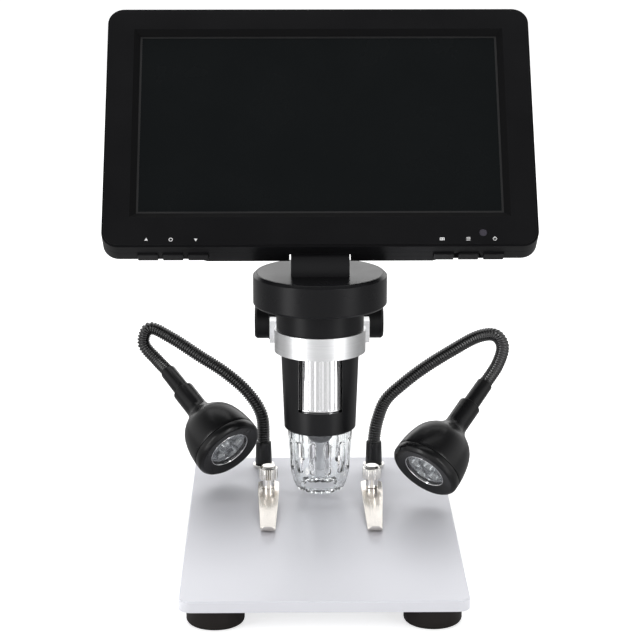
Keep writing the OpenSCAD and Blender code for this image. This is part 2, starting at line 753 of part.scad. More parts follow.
module display_cut(from, to, extra) {
    translate([-view_w / 2 - extra, from, view_low - extra])
        cube([view_w + 2 * extra, to - from, view_h + 2 * extra]);
}

bevel = 2.6;
panel_in = 2;
module front_bezel() color("#1c1c1e") on_screen() difference() {
    union() {
        screen_slab(0.8, bezel_t, 0, screen_corner_r);
        screen_slab(0, 1, 0.8, screen_corner_r - 0.8);
    }
    difference() {
        screen_slab(panel_in + panel_t, bezel_t + 1, shell_wall, screen_corner_r - shell_wall);
        for (p = screw_places) translate([p[0], 0, p[1]]) rotate([-90, 0, 0])
            cylinder(h = bezel_t, d = boss_d);
    }
    display_cut(-1, panel_in + 1, 0);
    display_cut(panel_in, panel_in + panel_t + eps, 2.4);
    bevel_cut();
    for (p = screw_places) translate([p[0], bezel_t - 2, p[1]]) rotate([-90, 0, 0])
        cylinder(h = 3, d = 2.4);
    translate([remote_x, -1, remote_up]) rotate([-90, 0, 0]) cylinder(h = 8, d = remote_d);
}

// The sloping border around the display opening
module bevel_cut() {
    w = view_w / 2;
    rise = panel_in - 0.3;
    translate([0, 0, view_low + view_h / 2]) rotate([-90, 0, 0]) hull() {
        translate([0, 0, -0.1]) linear_extrude(0.1)
            square([view_w + 2 * bevel, view_h + 2 * bevel], center = true);
        translate([0, 0, rise]) linear_extrude(0.1) square([2 * w, view_h], center = true);
    }
}

module key_cut(x) {
    translate([x - key_w / 2 - 0.2, key_in - key_t / 2 - 0.2, -1])
        cube([key_w + 0.4, key_t + 0.4, shell_wall + key_travel + 1.6]);
}

remote_x = screen_w / 2 - 23.2;
remote_up = 6.1;
remote_d = 3.4;
module remote_window() color("#5a5a60") on_screen()
    translate([remote_x, 0.3, remote_up]) rotate([-90, 0, 0])
        cylinder(h = 5, d = remote_d - 2 * fixed_gap);

// The display, behind the bezel
panel_t = 2.8;
module display_panel() color("#16181a") on_screen()
    display_cut(panel_in + 0.05, panel_in + panel_t, 2.4 - fixed_gap);

// The rear housing: a shell with a hump, ears for the hinge pin and a row of sound slots
module rear_housing() color("#1a1a1c") on_screen() difference() {
    union() {
        difference() {
            rear_outline(0);
            rear_outline(shell_wall);
        }
        intersection() {
            rear_outline(0);
            hinge_block();
        }
        for (p = screw_places) translate([p[0], bezel_t + 0.05, p[1]]) rotate([-90, 0, 0])
            cylinder(h = screen_t - bezel_t - 1, d = boss_d);
        for (x = [-1, 1], z = [0, 1]) translate([x * (board_w / 2 - 3), board_in + board_t,
            board_up + 3 + z * (board_h - 6)]) rotate([-90, 0, 0])
                cylinder(h = rear_t - shell_wall - board_in - board_t + 0.5, d = 4);
    }
    stem_notch();
    hinge_bore();
    for (x = key_places) key_cut(x);
    for (p = screw_places) translate([p[0], 0, p[1]]) rotate([-90, 0, 0]) {
        cylinder(h = screen_t + 1, d = 2.6);
        translate([0, 0, screen_t - 1.6]) cylinder(h = 3, d = 5);
    }
    for (i = [-3 : 3]) translate([i * 5 - 1, screen_t, screen_h - 30]) cube([2, rear_t, 12]);
    for (p = port_places) translate([-screen_w / 2 - 1, bezel_t + 1.4, p[0]])
        cube([shell_wall + 2, p[2], p[1]]);
}

// The rear housing's solid outline, shrunk by a wall's thickness. The hump starts low, to hold the
// hinge, and slopes out to its full depth
module rear_outline(wall) {
    w = hump_w / 2 - wall;
    top = screen_h - 16 - wall;
    low = hump_low + (wall > 0 ? hinge_block_h : 0);
    if (wall == 0) {
        screen_slab(bezel_t + 0.05, screen_t - 1, 0, screen_corner_r);
        screen_slab(screen_t - 1 - eps, screen_t, 1, screen_corner_r - 1);
    } else {
        screen_slab(bezel_t - 1, screen_t - wall, wall, screen_corner_r - wall);
    }
    hull() {
        translate([-w - 6, screen_t - 2 - wall, low]) cube([2 * w + 12, 1, top - low + 6]);
        translate([-w, screen_t, low]) cube([2 * w, hump_low_t - wall, top - low]);
        translate([-w, screen_t, low + 7.4]) cube([2 * w, hump_t - wall, top - low - 7.4]);
    }
}
hump_low = 0.6;
hump_low_t = 2.6;

// The solid block around the notch, whose two ends hold the hinge pin
module hinge_block() {
    translate([-notch_w / 2 - ear_len, bezel_t + 0.05, 0])
        cube([notch_w + 2 * ear_len, rear_t, hinge_block_h]);
}
ear_len = 9;
hinge_block_h = notch_h + 1.8;
module hinge_bore() {
    translate([-notch_w, hinge_in, hinge_up]) rotate([0, 90, 0])
        cylinder(h = 2 * notch_w, d = pin_d);
}

module hinge_pin() color("silver") on_screen()
    translate([-notch_w / 2 - ear_len + 2, hinge_in, hinge_up]) rotate([0, 90, 0])
        cylinder(h = notch_w + 2 * ear_len - 4, d = pin_d);

board_in = panel_in + panel_t + 5;
board_t = 1.6;
board_w = 76;
board_h = 56;
board_up = 24;
module main_board() color("darkgreen") on_screen()
    translate([-board_w / 2, board_in, board_up]) cube([board_w, board_t, board_h]);

// The battery is stuck to the inside of the hump
battery_t = 6;
battery_margin = 9;
module battery() color("#b9c4d0") on_screen()
    translate([battery_margin - board_w / 2 + 1, rear_t - shell_wall - battery_t - 0.05,
        board_up + battery_margin])
            cube([board_w - 2 - 2 * battery_margin, battery_t, board_h - 2 * battery_margin]);

// A strip board with one push switch behind each key
key_board_up = shell_wall + 5.4;
module key_board() color("darkgreen") on_screen() for (g = [-1, 1]) {
    translate([g > 0 ? key_places[3] - 6 : key_places[0] - 6, key_in - 2.9, key_board_up])
        cube([33, 4.6, 1.2]);
    for (x = [for (p = key_places) if (p * g > 0) p])
        translate([x - 1.6, key_in - 1.6, key_board_up - 1.6]) cube([3.2, 3.2, 1.7]);
}

// A key: its cap stands out of the lower wall, its flange keeps it in
key_travel = 0.6;
module key(i) color("#161618") on_screen() translate([key_places[i], key_in, 0]) {
    translate([-key_w / 2, -key_t / 2, -key_out])
        cube([key_w, key_t, key_out + shell_wall + 0.2]);
    translate([-key_w / 2 - 0.6, -key_t / 2 + 0.7, shell_wall + 0.15])
        cube([key_w + 1.2, key_t - 1.4, 0.7]);
    translate([-1.2, -1.2, shell_wall]) cube([2.4, 2.4, key_board_up - 1.6 - key_travel - shell_wall - 0.15]);
}
module key_up() key(0);
module key_select() key(1);
module key_down() key(2);
module key_photo() key(3);
module key_menu() key(4);
module key_power() key(5);

module housing_screws() color("silver") on_screen() for (p = screw_places)
    translate([p[0], screen_t - 1.6, p[1]]) rotate([-90, 0, 0]) difference() {
        union() {
            cylinder(h = 1.4, d = 4.4);
            translate([0, 0, bezel_t - screen_t]) cylinder(h = screen_t - bezel_t + 0.5, d = 2.4);
        }
        cylinder(h = 3, d = 1.6, $fn = 6);
    }

// ---- lamps ---------------------------------------------------------------------------------

// A smooth curve through hand-chosen points, from 0 at the first to 1 at the last
function spline(a, b, c, d, t) = 0.5 * (
    2 * b + (c - a) * t + (2 * a - 5 * b + 4 * c - d) * t * t + (3 * b - a - 3 * c + d) * t * t * t
);
function along(route, u) =
    let (
        last = len(route) - 1,
        i = min(floor(u * last), last - 1),
        t = u * last - i,
        before = i > 0 ? route[i - 1] : 2 * route[0] - route[1],
        after = i + 2 <= last ? route[i + 2] : 2 * route[last] - route[last - 1]
    )
    spline(before, route[i], route[i + 1], after, t);
function length_table(route) = [
    for (
        i = 0, s = 0;
        i <= route_steps;
        s = s + (i < route_steps ? norm(along(route, (i + 1) / route_steps)
            - along(route, i / route_steps)) : 0), i = i + 1
    ) [s, i / route_steps]
];
function unit(v) = v / norm(v);
function ring_at(route, u, r) =
    let (
        p = along(route, u),
        d = 0.002,
        t = unit(along(route, min(1, u + d)) - along(route, max(0, u - d))),
        across = unit(cross(t, [0, 1, 0])),
        other = cross(t, across)
    )
    [
        for (k = [0 : neck_sides - 1])
            p + r * (cos(k * 360 / neck_sides) * across + sin(k * 360 / neck_sides) * other)
    ];

// The ribbed neck with its bore: rings run out along the ribs and come back inside
module gooseneck(route) {
    table = length_table(route);
    total = table[route_steps][0];
    pitch = total / neck_ribs;
    outer = [
        for (i = [0 : neck_ribs - 1], j = [0, 1])
            [(i + (j == 0 ? 0.12 : 0.62)) * pitch, neck_rib_d / 2 - (j == 0 ? rib_depth : 0)]
    ];
    bore_rings = 24;
    inner = [for (i = [bore_rings : -1 : 0]) [(0.12 + (neck_ribs - 0.5) * i / bore_rings) * pitch,
        neck_bore / 2]];
    loop = concat(outer, inner);
    points = [for (q = loop) each ring_at(route, lookup(q[0], table), q[1])];
    count = len(loop);
    faces = [
        for (i = [0 : count - 1], k = [0 : neck_sides - 1])
            let (
                next = (i + 1) % count,
                side = (k + 1) % neck_sides,
                a = i * neck_sides + k,
                b = i * neck_sides + side,
                c = next * neck_sides + side,
                e = next * neck_sides + k
            )
            each [[a, b, c], [a, c, e]]
    ];
    polyhedron(points, faces);
}

// Places a piece whose +Z looks along the lamp's aim, with z = 0 at the end of its route
module on_lamp(s, route, aim) {
    end = route[len(route) - 1];
    turn = atan2(aim[1], aim[0]);
    lean = acos(aim[2] / norm(aim));
    translate([s * lamp_x, optical_y + lamp_back, neck_start_z] + end)
        rotate([0, lean, turn]) children();
}
module on_lamp_foot(s) {
    translate([s * lamp_x, optical_y + lamp_back, 0]) children();
}

ferrule_r = neck_rib_d / 2 + 0.85;
module lamp_ferrule(s) color("#19191b") on_lamp_foot(s) rotate_extrude() polygon([
    [neck_bore / 2, plate_z + fixed_gap], [lamp_stud_d / 2 - running_gap, plate_z + fixed_gap],
    [lamp_stud_d / 2 - running_gap, ferrule_z], [ferrule_r, ferrule_z],
    [ferrule_r, ferrule_z + 1], [ferrule_r - 0.3, neck_start_z],
    [neck_rib_d / 2 + fixed_gap, neck_start_z],
    [neck_rib_d / 2 + fixed_gap, neck_start_z - neck_hold],
    [neck_bore / 2, neck_start_z - neck_hold]
]);

// The route with a straight lead down into the ferrule and on into the sleeve
function held_route(route, aim) = concat(
    [[0, 0, -neck_hold + fixed_gap]], route, [route[len(route) - 1] + 4 * unit(aim)]
);
module lamp_neck(s, route, aim) color("#1b1b1d")
    translate([s * lamp_x, optical_y + lamp_back, neck_start_z])
        gooseneck(held_route(route, aim));

// The sleeve and the bell of one lamp, as one hollow turned piece. z = 0 is the sleeve's mouth
lamp_face = sleeve_len + lamp_len;
lamp_r = lamp_d / 2;
sleeve_r = neck_rib_d / 2 + 0.75;
bezel_h = 4.2;
grip_r = 4.85;
bell_start = sleeve_len + 11;
bell_run = lamp_len - 11 - bezel_h;
// The bell's outline, from its sleeve to its rim, as shares of its length and of its flare
bell_shape = [
    [0, 0], [0.05, 0.02], [0.11, 0.07], [0.17, 0.17], [0.23, 0.31], [0.29, 0.47], [0.36, 0.62],
    [0.43, 0.73], [0.51, 0.82], [0.61, 0.89], [0.72, 0.945], [0.85, 0.985], [1, 1]
];
function bell(share) = [
    grip_r + (lamp_r - grip_r) * lookup(share, bell_shape), bell_start + bell_run * share
];
module lamp_shade(s, route, aim) color("#19191b") on_lamp(s, route, aim) rotate_extrude()
    polygon(concat(
        [
            [neck_rib_d / 2 + fixed_gap, 0], [sleeve_r - 0.2, 0], [sleeve_r, 0.8],
            [sleeve_r, sleeve_len], [grip_r - 0.3, sleeve_len], [grip_r, sleeve_len + 0.4],
            [grip_r, bell_start - eps]
        ],
        [for (p = bell_shape) bell(p[0])],
        [[lamp_r - shade_wall, lamp_face - bezel_h]],
        [for (i = [11 : -1 : 6]) bell(bell_shape[i][0]) - [shade_wall + 0.3, 0]],
        [[1.6, bell_start + 6], [1.6, 6], [neck_rib_d / 2 + fixed_gap, 6]]
    ));

lamp_seat_r = lamp_window_d / 2 + 2.5;
module lamp_bezel(s, route, aim) color("#161618") on_lamp(s, route, aim) rotate_extrude()
    polygon([
        [lamp_window_d / 2 + 0.4, lamp_face - bezel_h + 2.2], [lamp_window_d / 2 + 0.4, lamp_face - 0.6],
        [lamp_window_d / 2 + 1, lamp_face], [lamp_r - 2, lamp_face], [lamp_r, lamp_face - 1.6],
        [lamp_r, lamp_face - bezel_h + 0.5], [lamp_r - 0.5, lamp_face - bezel_h + fixed_gap],
        [lamp_seat_r + fixed_gap, lamp_face - bezel_h + fixed_gap],
        [lamp_seat_r + fixed_gap, lamp_face - bezel_h + 2.2]
    ]);

lens_t = 1.2;
module lamp_lens(s, route, aim) color("azure", 0.4) on_lamp(s, route, aim)
    translate([0, 0, lamp_face - bezel_h + 0.9]) cylinder(h = lens_t, r = lamp_seat_r);

// A plate with one bright cup for each light
cup_count = 4;
module lamp_reflector(s, route, aim) color("silver") on_lamp(s, route, aim) difference() {
    translate([0, 0, lamp_face - bezel_h - 5.2]) {
        cylinder(h = 6, r = lamp_window_d / 2 + 0.3);
        translate([0, 0, 4.6]) cylinder(h = 1.4, r = lamp_seat_r);
    }
    for (i = [0 : cup_count - 1]) rotate(45 + i * 360 / cup_count)
        translate([lamp_window_d / 4 + 0.2, 0, lamp_face - bezel_h - 3.6])
            cylinder(h = 5, r1 = 1.6, r2 = lamp_window_d / 4 - 0.9);
}

module lamp_left_ferrule() lamp_ferrule(-1);
module lamp_left_neck() lamp_neck(-1, lamp_left_route, lamp_left_aim);
module lamp_left_shade() lamp_shade(-1, lamp_left_route, lamp_left_aim);
module lamp_left_bezel() lamp_bezel(-1, lamp_left_route, lamp_left_aim);
module lamp_left_lens() lamp_lens(-1, lamp_left_route, lamp_left_aim);
module lamp_left_reflector() lamp_reflector(-1, lamp_left_route, lamp_left_aim);
module lamp_right_ferrule() lamp_ferrule(1);
module lamp_right_neck() lamp_neck(1, lamp_right_route, lamp_right_aim);
module lamp_right_shade() lamp_shade(1, lamp_right_route, lamp_right_aim);
module lamp_right_bezel() lamp_bezel(1, lamp_right_route, lamp_right_aim);
module lamp_right_lens() lamp_lens(1, lamp_right_route, lamp_right_aim);
module lamp_right_reflector() lamp_reflector(1, lamp_right_route, lamp_right_aim);

// ---- drawing -------------------------------------------------------------------------------

base_plate();
feet();
foot_screws();
column();
column_cap();
column_bolt();
lamp_nuts();
cable_glands();
clip_posts();
clip_left();
clip_right();
clip_knob_left();
clip_knob_right();
ring_bracket();
carriage_housing();
slide_bushes();
shaft_bushes();
carriage_screws();
pinion_shaft();
focus_knob_left();
focus_knob_right();
head_body();
head_cap();
head_screws();
tube_shell();
sensor_board();
image_sensor();
led_ring();
clear_hood();
focus_wheel();
lens_barrel();
objective_lens();
hinge_pin();
front_bezel();
rear_housing();
display_panel();
main_board();
battery();
key_board();
remote_window();
housing_screws();
key_up();
key_select();
key_down();
key_photo();
key_menu();
key_power();
lamp_left_ferrule();
lamp_left_neck();
lamp_left_shade();
lamp_left_bezel();
lamp_left_lens();
lamp_left_reflector();
lamp_right_ferrule();
lamp_right_neck();
lamp_right_shade();
lamp_right_bezel();
lamp_right_lens();
lamp_right_reflector();
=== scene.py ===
"""Bench digital microscope, dressed over its CAD frame. Metres, floor at z = 0, +Y to the rear."""
from math import acos, atan2, cos, hypot, pi, radians, sin

import bpy
from mathutils import Matrix, Vector


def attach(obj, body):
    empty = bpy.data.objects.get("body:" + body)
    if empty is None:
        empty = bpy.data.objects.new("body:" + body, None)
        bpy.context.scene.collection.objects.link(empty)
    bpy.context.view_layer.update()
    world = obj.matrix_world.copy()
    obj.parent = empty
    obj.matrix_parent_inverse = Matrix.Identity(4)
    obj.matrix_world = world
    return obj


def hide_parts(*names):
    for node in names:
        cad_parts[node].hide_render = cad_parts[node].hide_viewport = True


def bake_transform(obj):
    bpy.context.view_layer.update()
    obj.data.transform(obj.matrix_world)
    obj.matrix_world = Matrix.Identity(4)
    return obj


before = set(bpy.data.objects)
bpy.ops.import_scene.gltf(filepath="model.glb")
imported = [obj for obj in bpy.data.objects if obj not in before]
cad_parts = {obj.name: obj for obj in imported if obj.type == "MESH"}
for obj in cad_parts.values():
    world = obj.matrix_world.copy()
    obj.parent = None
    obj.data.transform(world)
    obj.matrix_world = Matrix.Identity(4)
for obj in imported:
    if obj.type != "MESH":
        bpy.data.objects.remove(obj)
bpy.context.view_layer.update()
MM = 0.001

# Places and measures that the CAD source gives, in millimetres, and the lean in degrees
OPTICAL_Y = 31.7
HINGE = (0, 27.85, 121.5)
HINGE_IN, HINGE_UP = 12.3, 4
SCREEN_LEAN = 38
VIEW_W, VIEW_H, VIEW_LOW = 153, 85, 16.1
LAMP_FOOT = (24.6, 72.7, 24.5)
SLEEVE, LAMP_FACE = 12.7, 51.7
NECK_START, NECK_INTO_SLEEVE = -2.9, 4

# What only the dressed pieces have: counts, and measures in millimetres
NECK_RIBS = 96
NECK_R, NECK_GROOVE, NECK_ROUNDING = 2.9, 0.6, 0.12
NECK_SIDES, TURNED_SIDES = 20, 96
MERGE, MERGE_RIBS = 0.002, 0.005
SHARP, SMOOTH = 30, 35  # degrees

# Each lamp: its route from its foot, where its head looks, and where its neck bends
LAMPS = {
    "left": {
        "side": -1,
        "route": [
            (0, 0, 0), (-0.8, 0, 12.5), (-7, 1.5, 22.5), (-17, 4.6, 30.8), (-28.4, 8, 37.5),
            (-40.4, 12, 44.5), (-50.6, 14.8, 48.6), (-53.4, 13.5, 41.8), (-47.6, 9.9, 35.4),
            (-42.5, 5.3, 31.3),
        ],
        "aim": (0.55, -0.65, -0.52),
        "crest": (-75.2, 87.5, 73.1),
        "onward": (-0.8, -0.3, -0.5),
    },
    "right": {
        "side": 1,
        "route": [
            (0, 0, 0), (1.2, 0, 8.5), (5, 0, 18.8), (13, -0.9, 27), (22.5, -2.1, 34.8),
            (34, -4.7, 43), (44.5, -8.4, 50), (52, -12.8, 52), (55.1, -17, 47.8),
            (52.4, -22.6, 41.1), (46.7, -28.7, 34.5),
        ],
        "aim": (-0.545, -0.6, -0.585),
        "crest": (76.6, 59.9, 76.5),
        "onward": (0.7, -0.55, -0.45),
    },
}

# From the screen's own axes, flat and upright, to its place on the hinge
ON_SCREEN = (
    Matrix.Translation([v * MM for v in HINGE])
    @ Matrix.Rotation(radians(-SCREEN_LEAN), 4, "X")
    @ Matrix.Translation((0, -HINGE_IN * MM, -HINGE_UP * MM))
)


# ---- working by hand: selecting, turning, softening ------------------------------------------

def deselect_all():
    if bpy.context.object and bpy.context.object.mode != "OBJECT":
        bpy.ops.object.mode_set(mode="OBJECT")
    bpy.ops.object.select_all(action="DESELECT")


def pick(piece):
    deselect_all()
    piece.select_set(True)
    bpy.context.view_layer.objects.active = piece


def named(name):
    """Names the piece that was just made."""
    piece = bpy.context.object
    if piece.mode != "OBJECT":
        bpy.ops.object.mode_set(mode="OBJECT")
    piece.name = name
    piece.data.name = name
    return piece


def edit_faces(piece):
    pick(piece)
    bpy.ops.object.mode_set(mode="EDIT")
    bpy.ops.mesh.select_mode(type="FACE")
    bpy.ops.mesh.select_all(action="DESELECT")


def select_faces(piece, wanted):
    """Selects the faces whose centre and normal suit, in edit mode."""
    bpy.ops.object.mode_set(mode="OBJECT")
    for face in piece.data.polygons:
        face.select = wanted(face.center, face.normal)
    bpy.ops.object.mode_set(mode="EDIT")


def select_edges(piece, wanted):
    """Selects the edges whose two ends suit, in edit mode."""
    bpy.ops.object.mode_set(mode="OBJECT")
    mesh = piece.data
    for vertex in mesh.vertices:
        vertex.select = False
    for face in mesh.polygons:
        face.select = False
    for edge in mesh.edges:
        a, b = (mesh.vertices[i].co for i in edge.vertices)
        edge.select = wanted(a, b)
    bpy.ops.object.mode_set(mode="EDIT")


def close_up():
    """Joins the points that meet and turns every face outwards."""
    bpy.ops.mesh.select_all(action="SELECT")
    bpy.ops.mesh.remove_doubles(threshold=MERGE * MM)
    bpy.ops.mesh.normals_make_consistent(inside=False)
    bpy.ops.object.mode_set(mode="OBJECT")


def apply_modifiers(piece):
    pick(piece)
    for modifier in list(piece.modifiers):
        bpy.ops.object.modifier_apply(modifier=modifier.name)


def put(piece, place):
    """Puts a finished piece in its place and leaves its object at the origin."""
    pick(piece)
    piece.matrix_world = place @ piece.matrix_world
    bpy.ops.object.transform_apply(location=True, rotation=True, scale=True)


def soften(piece, width):
    """Rounds the sharp edges by a width in millimetres."""
    pick(piece)
    bevel = piece.modifiers.new("soft edges", "BEVEL")
    bevel.width = width * MM
    bevel.segments = 2
    bevel.limit_method = "ANGLE"
    bevel.angle_limit = radians(SHARP)
    bevel.miter_outer = "MITER_ARC"
    apply_modifiers(piece)
    bpy.ops.object.shade_smooth_by_angle(angle=radians(SMOOTH))
    level = piece.modifiers.new("flat faces stay flat", "WEIGHTED_NORMAL")
    level.keep_sharp = True
    apply_modifiers(piece)


def draw_out(profile):
    """Draws the selected circle out along a profile of (radius, height) in millimetres."""
    r, z = profile[0]
    for next_r, next_z in profile[1:]:
        bpy.ops.mesh.extrude_region_move(
            TRANSFORM_OT_translate={"value": (0, 0, (next_z - z) * MM)}
        )
        grow = next_r / r
        bpy.ops.transform.resize(value=(grow, grow, 1), center_override=(0, 0, next_z * MM))
        r, z = next_r, next_z


def turned(name, profile, closed=True):
    """A circle drawn out along a profile, back to its start, or else filled at both ends."""
    deselect_all()
    start_r, start_z = (v * MM for v in profile[0])
    bpy.ops.mesh.primitive_circle_add(
        vertices=TURNED_SIDES, radius=start_r, location=(0, 0, start_z)
    )
    piece = named(name)
    bpy.ops.object.transform_apply(location=True, rotation=True, scale=True)
    bpy.ops.object.mode_set(mode="EDIT")
    bpy.ops.mesh.select_mode(type="EDGE")
    bpy.ops.mesh.select_all(action="SELECT")
    draw_out(profile + profile[:1] if closed else profile)
    if not closed:
        level, close = 1e-7, 1e-6
        bpy.ops.mesh.edge_face_add()
        select_edges(piece, lambda a, b: abs(a.z - start_z) < level and abs(b.z - start_z) < level
                     and abs(hypot(a.x, a.y) - start_r) < close)
        bpy.ops.mesh.edge_face_add()
    close_up()
    return piece


def block(name, low, high):
    """A block between two corners in millimetres, ready to be shaped."""
    deselect_all()
    middle = [(a + b) / 2 * MM for a, b in zip(low, high)]
    bpy.ops.mesh.primitive_cube_add(size=1, location=middle)
    piece = named(name)
    piece.scale = [(b - a) * MM for a, b in zip(low, high)]
    bpy.ops.object.transform_apply(location=True, rotation=True, scale=True)
    return piece


def from_cad(node, body, width, material):
    """A copy of a CAD piece with merged faces and softened edges, in place of its node."""
    piece = bpy.data.objects.new(node + "_dressed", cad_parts[node].data.copy())
    bpy.context.scene.collection.objects.link(piece)
    piece.matrix_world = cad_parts[node].matrix_world.copy()
    piece.data.materials.clear()
    pick(piece)
    bpy.ops.object.transform_apply(location=True, rotation=True, scale=True)
    bpy.ops.object.mode_set(mode="EDIT")
    bpy.ops.mesh.select_all(action="SELECT")
    bpy.ops.mesh.remove_doubles(threshold=MERGE * MM)
    nearly_flat = radians(0.4)
    bpy.ops.mesh.dissolve_limited(angle_limit=nearly_flat)
    bpy.ops.object.mode_set(mode="OBJECT")
    soften(piece, width)
    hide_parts(node)
    finish_piece(piece, body, material)
    return piece


def finish_piece(piece, body, material):
    """Gives a piece its finish and the body that carries it."""
    piece.data.materials.clear()
    piece.data.materials.append(material)
    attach(piece, body)


# ---- shared effects --------------------------------------------------------------------------

class Tree:
    """A node tree, with short ways to add the nodes that this scene is drawn with."""

    def __init__(self, tree):
        self.nodes = tree.nodes
        self.link = tree.links.new

    def feed(self, socket, given):
        """Gives a socket a constant, or links it to another node's output."""
        if isinstance(given, bpy.types.NodeSocket):
            self.link(given, socket)
        else:
            socket.default_value = given

    def maths(self, operation, *given):
        """A sum on one, two or three values."""
        node = self.nodes.new("ShaderNodeMath")
        node.operation = operation
        for socket, value in zip(node.inputs, given):
            self.feed(socket, value)
        return node.outputs["Value"]

    def vector(self, operation, first, label, second):
        """A sum on two vectors, or on a vector and a scale, which goes to the socket named."""
        node = self.nodes.new("ShaderNodeVectorMath")
        node.operation = operation
        self.feed(node.inputs[0], first)
        self.feed(node.inputs[label], second)
        return node.outputs["Vector"]

    def noise(self, place, scale, detail):
        """Uneven cloudy values, finer with a larger scale."""
        node = self.nodes.new("ShaderNodeTexNoise")
        self.feed(node.inputs["Vector"], place)
        self.feed(node.inputs["Scale"], scale)
        self.feed(node.inputs["Detail"], detail)
        return node.outputs["Fac"]

    def spread(self, value, start, end, low, high, curve="LINEAR"):
        """Turns a value that runs from start to end into one that runs from low to high."""
        node = self.nodes.new("ShaderNodeMapRange")
        node.interpolation_type = curve
        self.feed(node.inputs["Value"], value)
        self.feed(node.inputs["From Min"], start)
        self.feed(node.inputs["From Max"], end)
        self.feed(node.inputs["To Min"], low)
        self.feed(node.inputs["To Max"], high)
        return node.outputs["Result"]

    def bump(self, height, depth):
        """Relief of a depth in millimetres."""
        node = self.nodes.new("ShaderNodeBump")
        self.feed(node.inputs["Strength"], 1)
        self.feed(node.inputs["Distance"], depth * MM)
        self.feed(node.inputs["Height"], height)
        return node.outputs["Normal"]

    def split(self, coordinates):
        """The x, y and z of a place or direction."""
        node = self.nodes.new("ShaderNodeSeparateXYZ")
        self.feed(node.inputs["Vector"], self.nodes.new("ShaderNodeTexCoord").outputs[coordinates])
        return node.outputs

    def place(self):
        """The place on the object itself, so that a pattern moves with its piece."""
        return self.nodes.new("ShaderNodeTexCoord").outputs["Object"]


def new_group(name, inputs):
    """A shared effect that gives a colour, a roughness and a height."""
    group = bpy.data.node_groups.new(name, "ShaderNodeTree")
    for label, kind, value in inputs:
        socket = group.interface.new_socket(label, in_out="INPUT", socket_type=kind)
        socket.default_value = value
    for label, kind in (("Colour", "NodeSocketColor"), ("Roughness", "NodeSocketFloat"),
                        ("Height", "NodeSocketFloat")):
        group.interface.new_socket(label, in_out="OUTPUT", socket_type=kind)
    given = group.nodes.new("NodeGroupInput").outputs
    return group, Tree(group), given, group.nodes.new("NodeGroupOutput").inputs


def moulded_grain():
    """Fine moulded texture with slight variation of colour and gloss."""
    group, tree, given, out = new_group("moulded grain", [
        ("Colour", "NodeSocketColor", (0.01, 0.01, 0.011, 1)),
        ("Variation", "NodeSocketFloat", 0.25), ("Grain", "NodeSocketFloat", 3500),
        ("Smooth", "NodeSocketFloat", 0.35), ("Rough", "NodeSocketFloat", 0.5),
    ])
    place = tree.place()
    fine = tree.noise(place, given["Grain"], 3)
    broad = tree.noise(place, 38, 5)
    gloss = tree.spread(broad, 0.35, 0.65, given["Smooth"], given["Rough"])
    darker = tree.maths("SUBTRACT", 1, given["Variation"])
    lighter = tree.maths("ADD", 1, given["Variation"])
    shade = tree.spread(fine, 0, 1, darker, lighter)
    tree.feed(out["Colour"], tree.vector("SCALE", given["Colour"], "Scale", shade))
    tree.feed(out["Roughness"], gloss)
    tree.feed(out["Height"], fine)
    return group


def brushed_lines():
    """Long fine scratches, drawn out by the scale of each axis."""
    group, tree, given, out = new_group("brushed lines", [
        ("Colour", "NodeSocketColor", (0.8, 0.8, 0.82, 1)),
        ("Variation", "NodeSocketFloat", 0.06),
        ("Stretch", "NodeSocketVector", (20, 2500, 2500)),
        ("Smooth", "NodeSocketFloat", 0.25), ("Rough", "NodeSocketFloat", 0.4),
    ])
    lines = tree.noise(tree.vector("MULTIPLY", tree.place(), 1, given["Stretch"]), 1, 4)
    gloss = tree.spread(lines, 0.3, 0.7, given["Smooth"], given["Rough"])
    darker = tree.maths("SUBTRACT", 1, given["Variation"])
    shade = tree.spread(lines, 0.3, 0.7, darker, 1)
    tree.feed(out["Colour"], tree.vector("SCALE", given["Colour"], "Scale", shade))
    tree.feed(out["Roughness"], gloss)
    tree.feed(out["Height"], lines)
    return group


GRAIN = moulded_grain()
BRUSHED = brushed_lines()


# ---- finishes --------------------------------------------------------------------------------

def new_material(name):
    material = bpy.data.materials.new(name)
    material.use_nodes = True
    shader = material.node_tree.nodes["Principled BSDF"]
    return material, Tree(material.node_tree), shader.inputs


def patterned(name, group, colour, depth, settings, metallic=0.0, **sockets):
    """A finish whose colour, gloss and relief come from one of the shared effects."""
    material, tree, shader = new_material(name)
    effect = tree.nodes.new("ShaderNodeGroup")
    effect.node_tree = group
    effect.inputs["Colour"].default_value = (*colour, 1)
    for label, value in settings.items():
        effect.inputs[label].default_value = value
    tree.feed(shader["Base Color"], effect.outputs["Colour"])
    tree.feed(shader["Roughness"], effect.outputs["Roughness"])
    tree.feed(shader["Normal"], tree.bump(effect.outputs["Height"], depth))
    shader["Metallic"].default_value = metallic
    for label, value in sockets.items():
        shader[label.replace("_", " ")].default_value = value
    return material


def moulded(name, colour, smooth, rough, grain=3500, depth=0.004, variation=0.2, **sockets):
    """Moulded: least and most roughness, grains to a metre, relief in millimetres."""
    settings = {"Smooth": smooth, "Rough": rough, "Grain": grain, "Variation": variation}
    return patterned(name, GRAIN, colour, depth, settings, **sockets)


def brushed(name, colour, smooth, rough, stretch, depth=0.002, variation=0.06, metallic=1.0,
            **sockets):
    """Brushed: least and most roughness, scratches to a metre along x, y and z, relief."""
    settings = {"Smooth": smooth, "Rough": rough, "Stretch": stretch, "Variation": variation}
    return patterned(name, BRUSHED, colour, depth, settings, metallic=metallic, **sockets)


def clear_plastic(name, colour, roughness, ior=1.47):
    """Clear moulded plastic, slightly uneven inside its walls."""
    material, tree, shader = new_material(name)
    waves = tree.noise(tree.place(), 160, 2)
    tree.feed(shader["Normal"], tree.bump(waves, 0.02))
    shader["Base Color"].default_value = (*colour, 1)
    shader["Roughness"].default_value = roughness
    shader["IOR"].default_value = ior
    shader["Transmission Weight"].default_value = 1
    return material


